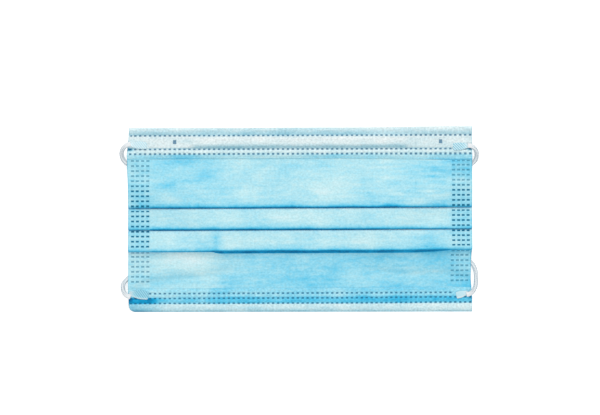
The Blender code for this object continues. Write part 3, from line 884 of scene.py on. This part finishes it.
# Along each hem's front: how deep its colour is, and how much of the blue ply shows, by y in mm. The depth
# tables hold painted light too: shade where the nose hem slopes down to its first row, a highlight on the
# wire's ridge and a shadow below it, and shade at the chin hem's outer turn
TOP_HEM_SHADE = (
    (46.7, 0.26), (45.8, 0.30), (44.4, 0.44), (43.2, 0.54), (42.7, 0.34), (41.9, 0.18), (41.0, 0.10),
    (39.0, 0.16), (37.7, 0.34), (36.7, 0.50), (35.8, 0.30), (34.9, 0.08), (34.2, 0.20), (33.2, 0.30),
    (32.5, 0.28), (31.5, 0.30), (31.2, 0.36),
)
TOP_HEM_BLUE = ((43.6, 0.12), (42.0, 0.0), (36.0, 0.1), (34.8, 0.5), (33.6, 0.5), (32.9, 0.85), (31.2, 1.0))
BOTTOM_HEM_SHADE = (
    (-34.5, 0.47), (-35.6, 0.46), (-37.2, 0.45), (-38.3, 0.43), (-39.5, 0.62), (-40.5, 0.63), (-41.5, 0.64),
    (-42.4, 0.54), (-42.8, 0.18), (-44.0, 0.26), (-45.4, 0.32), (-46.2, 0.44), (-46.75, 0.62),
)
BOTTOM_HEM_BLUE = ((-42.4, 1.0), (-42.8, 0.5), (-44.0, 0.45), (-46.75, 0.2))


def top_hem_shade(x, y):
    """How deep the nose hem's colour is: a painted highlight on the nose wire's ridge and a painted shadow
    below it, plain past the wire's ends, and a painted shadow under each cord.
    """
    level = profile(TOP_HEM_SHADE, y)
    beyond_wire = smooth_share((abs(x) - WIRE_LENGTH / 2 / MM) / 3)
    # past the wire's ends there is no ridge, so its painted highlight and shadow are left out
    if 36.6 < y < 42.6:
        level += (0.20 - level) * beyond_wire
    if y > 42.6:
        level -= 0.06 * smooth_share((abs(x) - 25) / 25) + 0.05 * smooth_share((x - 20) / 20)
    if y < 33.2:
        level += 0.20 * math.exp(-((x + 58) / 17) ** 2) + 0.14 * math.exp(-((x - 20) / 13) ** 2)
        level += 0.14 * smooth_share((x - 62) / 6)
    if y < 31.3:
        level += 0.45 * smooth_share((x - 62) / 6)
        level += 0.25 * smooth_share((-48 - x) / 10) * smooth_share((x + 77) / 2)
    # painted shadow under each cord where it crosses the hem's side
    cord_shadow = math.exp(-(((abs(x) - 86.5) / 1.6) ** 2 + ((y - 35.7) / 0.7) ** 2))
    return level + 0.7 * cord_shadow + rim_shade(x)


def bottom_hem_shade(x, y):
    """How deep the chin hem's colour is: deepest between its lower rows in the left corner, with a painted
    shadow under the left cord.
    """
    level = profile(BOTTOM_HEM_SHADE, y)
    if y > -42.5:
        level -= 0.10 * smooth_share((-44 - x) / 4)
        corner = smooth_share((-39.2 - y) / 0.5) * smooth_share((-70 - x) / 7)
        level += 0.40 * corner
    else:
        level += 0.27 * smooth_share((-66 - x) / 15) - 0.07 * smooth_share((x - 30) / 40)
    # painted shadow under the left cord
    cord_shadow = math.exp(-(((x + 86.5) / 1.4) ** 2 + ((y + 39.9) / 0.7) ** 2))
    return level + 0.5 * cord_shadow + rim_shade(x)


def hem_section(free_edge, outer_edge, marks_along, dip):
    """(y, z, shown) of a hem's centre line: its front leg, the turn round the panel, and its back leg."""
    way = 1 if outer_edge > free_edge else -1
    top = FRONT_LEG + WALL / 2 - WRAP / 2
    bottom = WRAP / 2
    radius = (top - bottom) / 2
    turn = outer_edge - way * (radius + WRAP / 2)
    high, low = max(free_edge, turn), min(free_edge, turn)
    across = spaced(high, low, 0.6 * MM, marks_along)
    if way > 0:
        across.reverse()
    section = [(y, top - dip(y), 1) for y in across]
    bulge = half_turn(turn, bottom + radius, radius, way, steps=9)
    section += [(y, z, 1 if z > bottom + radius else 0) for y, z in bulge]
    back = spaced(high, low, 3 * MM)
    if way > 0:
        back.reverse()
    section += [(y, bottom, 0) for y in reversed(back)]
    return section[::-1] if way > 0 else section


def edge_share(y, free_edge):
    """1 at a hem's free edge, falling to 0 within 2.4 mm of it."""
    return smooth_share(1 - abs(y - free_edge) / (2.4 * MM))


def quilt(rows, free_edge):
    """How far a hem's front leg is drawn down by its rows of welds and at its free edge."""
    def dip(y):
        rows_pull = sum(0.42 * MM * math.exp(-((y - row) / (0.9 * MM)) ** 2) for row in rows)
        return max(min(rows_pull, 0.55 * MM), 0.9 * MM * edge_share(y, free_edge))
    return dip


def wire_ridge(x, y):
    """How far the nose wire pushes up the hem's front leg."""
    past_end = abs(x) - WIRE_LENGTH / 2
    past_side = abs(y - WIRE_Y) - 1.9 * MM
    return WIRE_RISE * smooth_share(1 - max(past_end / 3, past_side, 0) / (2.3 * MM))


def dot_size(row):
    """(width, height) of a hem's welds: the fourth row is the single spots beside the nose wire."""
    return HEM_DOT if row < 3 else SPOT


def hem(name, node, free_edge, outer_edge, rows, tones, windows, material, ridge=None):
    """A white wrap round an edge of the panel, quilted by its rows of welds."""
    marks_along = [row + side * dot_size(i)[1] / 2 for i, row in enumerate(rows) for side in (-1, 1)]
    marks_along.append(free_edge + math.copysign(0.25 * MM, outer_edge - free_edge))
    section = hem_section(free_edge, outer_edge, marks_along, quilt(rows[:3], free_edge))
    columns = [HEM_DOT_FIRST + i * HEM_DOT_STEP for i in range(HEM_DOTS)]
    rims = [side * x for side in (-1, 1) for x in (WIDTH / 2, WIDTH / 2 - RIM)]
    spots = [columns[i] for i in SPOT_COLUMNS] if len(rows) > 3 else []
    places = sorted([*rims, *column_places(columns, HEM_DOT[0]), *column_places(spots, SPOT[0])])
    thickness = [
        WRAP - 0.35 * MM * edge_share(y, free_edge) * (z > FRONT_LEG / 2) for y, z, _ in section
    ]
    outline = wall_outline(section, thickness)
    form = extruded_cloth(outline, places)
    press_dots(form, windows(rows, columns))
    tone(form, *tones)
    settle(form, ridge)
    wrap = place_mesh(name, form, material)
    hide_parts(node)
    return wrap


def hem_windows(skip):
    """What press_dots asks of a hem: whether a point is in a weld of a row and column that isn't skipped."""
    def windows(rows, columns):
        def inside(x, y):
            number = min(max(round((x - HEM_DOT_FIRST) / HEM_DOT_STEP), 0), HEM_DOTS - 1)
            for i, row in enumerate(rows):
                width, height = dot_size(i)
                within = abs(x - columns[number]) < width / 2 and abs(y - row) < height / 2
                if within and not skip(i, number, x):
                    return True
            return False
        return inside
    return windows


# ---- the welds of the loops ----


def hem_top(x, y):
    """Height of a hem's upper face, with its ridge and its lift."""
    return FRONT_LEG + WALL / 2 + lift(x, y) + ripple(x, y)


HATCH_STEP = 0.95 * MM
HATCH_DEPTH = 0.12 * MM
PATCH_GRID = 0.2 * MM
PATCH_THICK = 0.4 * MM
HATCH_WAY = (0.75, 0.66)  # across the hatching's lines
CORNER_ROUND = 0.16  # how much the pad's corners are drawn in
NECK = 1.4 * MM  # how far it runs out to meet the cord
NECK_NARROWING = 0.45


def weld_patch(corner, material):
    """The loop's end pressed flat on the hem: a thin pad with soft corners, hatched by the welding die."""
    x, y, turn, length, width, depth, hatch = PATCHES[corner]
    form = bmesh.new()
    tone_and_shade = form.verts.layers.float.new("tone_and_shade")
    bmesh.ops.create_grid(
        form, x_segments=round(length * MM / PATCH_GRID), y_segments=round(width * MM / PATCH_GRID),
        size=1.0,
    )
    upper = list(form.verts)
    grown = bmesh.ops.extrude_face_region(form, geom=form.faces[:])["geom"]
    lower = [g for g in grown if isinstance(g, bmesh.types.BMVert)]
    heights = {}
    for verts, top in ((upper, True), (lower, False)):
        for vert in verts:
            u, v = vert.co.x, vert.co.y
            rounded_u = u * math.sqrt(1 - CORNER_ROUND * v * v)
            rounded_v = v * math.sqrt(1 - CORNER_ROUND * u * u)
            edge = max(abs(u), abs(v)) ** 6
            to_cord = smooth_share(u if x > 0 else -u)
            along = rounded_u * length / 2 * MM + math.copysign(NECK, x) * to_cord
            across = rounded_v * width / 2 * MM * (1 - NECK_NARROWING * to_cord)
            line = math.cos(2 * math.pi * (along * HATCH_WAY[0] + across * HATCH_WAY[1]) / HATCH_STEP)
            pressed = HATCH_DEPTH * hatch * (0.5 - 0.5 * line) * (1 - edge)
            lower_edge = smooth_share((-0.45 - v) / 0.5) * depth
            vert[tone_and_shade] = (depth + hatch * (0.5 - 0.5 * line) - lower_edge) * (1 - 0.8 * to_cord ** 2)
            vert.co.x, vert.co.y = along, across
            heights[vert] = PATCH_THICK * (1 - 0.8 * edge + 0.8 * to_cord) - pressed if top else 0.0
    spin = Matrix.Rotation(math.radians(turn), 4, "Z")
    bmesh.ops.transform(form, matrix=Matrix.Translation((x * MM, y * MM, 0)) @ spin, verts=form.verts)
    for vert in form.verts:
        seat = hem_top(vert.co.x, vert.co.y) + 0.05 * MM
        vert.co.z = seat + heights[vert]
        vert.co.y += sway(x * MM, y * MM)
    bmesh.ops.recalc_face_normals(form, faces=form.faces)
    node = "ear_loop_weld_" + corner
    patch = place_mesh(node + "_patch", form, material)
    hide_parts(node)
    return patch


# ---- table and light ----


def table(material):
    """The white surface that the mask lies on."""
    form = bmesh.new()
    bmesh.ops.create_grid(form, x_segments=1, y_segments=1, size=2.0)
    bmesh.ops.translate(form, vec=(0, 0, -0.02 * MM), verts=form.verts)
    mesh = bpy.data.meshes.new("table")
    form.to_mesh(mesh)
    form.free()
    mesh.materials.append(material)
    top = bpy.data.objects.new("table", mesh)
    bpy.context.scene.collection.objects.link(top)


def table_paper():
    """Matt white background paper."""
    material, _, shader = new_material("white background paper")
    shader.inputs["Base Color"].default_value = linear("#FCFCFC")
    shader.inputs["Roughness"].default_value = 0.9
    shader.inputs["Specular IOR Level"].default_value = 0.1
    shader.inputs["Emission Color"].default_value = (1.0, 1.0, 1.0, 1.0)
    shader.inputs["Emission Strength"].default_value = 0.30
    return material


def lamp(name, place, aim, size, power):
    """A square softbox turned to its aim."""
    light = bpy.data.lights.new(name, "AREA")
    light.shape = "SQUARE"
    light.size = size
    light.energy = power
    item = bpy.data.objects.new(name, light)
    item.location = place
    item.rotation_euler = (Vector(aim) - Vector(place)).to_track_quat("-Z", "Y").to_euler()
    bpy.context.scene.collection.objects.link(item)


def studio():
    """Even light from all round, with a soft key from beyond the nose edge that shades the folds."""
    lamp("key softbox", (-0.15, 1.05, 1.0), (0, 0, 0), 0.7, 7.5)
    lamp("overhead softbox", (0.2, -0.3, 1.6), (0, 0, 0), 1.2, 11.0)
    world = bpy.data.worlds.new("studio")
    world.use_nodes = True
    world.node_tree.nodes["Background"].inputs["Color"].default_value = (1.0, 1.0, 1.0, 1.0)
    world.node_tree.nodes["Background"].inputs["Strength"].default_value = 0.46
    bpy.context.scene.world = world
    bpy.context.scene.view_settings.view_transform = "Standard"


def main():
    camera()
    knit = elastic(
        "white knitted elastic", ((0.10, "#F6F8F8"), (0.45, "#E3E9EC"), (0.95, "#A9B8C2")),
    )
    pressed_knit = elastic(
        "welded elastic", ((0.15, "#E6F1F3"), (0.60, "#9FDAEA"), (1.0, "#5BA6C4")),
    )
    loops = {side: ear_loop(side, knit) for side in ROUTES}

    blue_cloth = spunbond(
        "blue spunbond over white plies", cloud=0.42, streak=0.24, wisp=0.24, grain=0.12,
        film_tone="#007094", film_share=1.0,
    )
    white_cloth = spunbond(
        "white spunbond wrap", cloud=0.34, streak=0.26, wisp=0.20, grain=0.20,
        film_tone="#0C6690", film_share=0.80,
    )
    panel = pleated_panel(blue_cloth)
    top = hem(
        "top_hem_wrap", "top_hem", TOP_HEM_EDGE, HEIGHT / 2, TOP_ROWS,
        (top_hem_shade, lambda x, y: profile(TOP_HEM_BLUE, y)),
        hem_windows(lambda row, column, x: row == 3 and column not in SPOT_COLUMNS), white_cloth, wire_ridge,
    )
    bottom = hem(
        "bottom_hem_wrap", "bottom_hem", BOTTOM_HEM_EDGE, -HEIGHT / 2, BOTTOM_ROWS,
        (bottom_hem_shade, lambda x, y: profile(BOTTOM_HEM_BLUE, y)),
        hem_windows(lambda row, column, x: row == 0 and not -76 * MM < x < 79 * MM), white_cloth,
    )
    patches = {corner: weld_patch(corner, pressed_knit) for corner in PATCHES}

    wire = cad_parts["nose_wire"]
    wire.data.materials.clear()
    wire.data.materials.append(wire_coating())

    for side, loop in loops.items():
        route = smooth_route(ROUTES[side], CORD_STEP)

    table(table_paper())
    studio()


main()
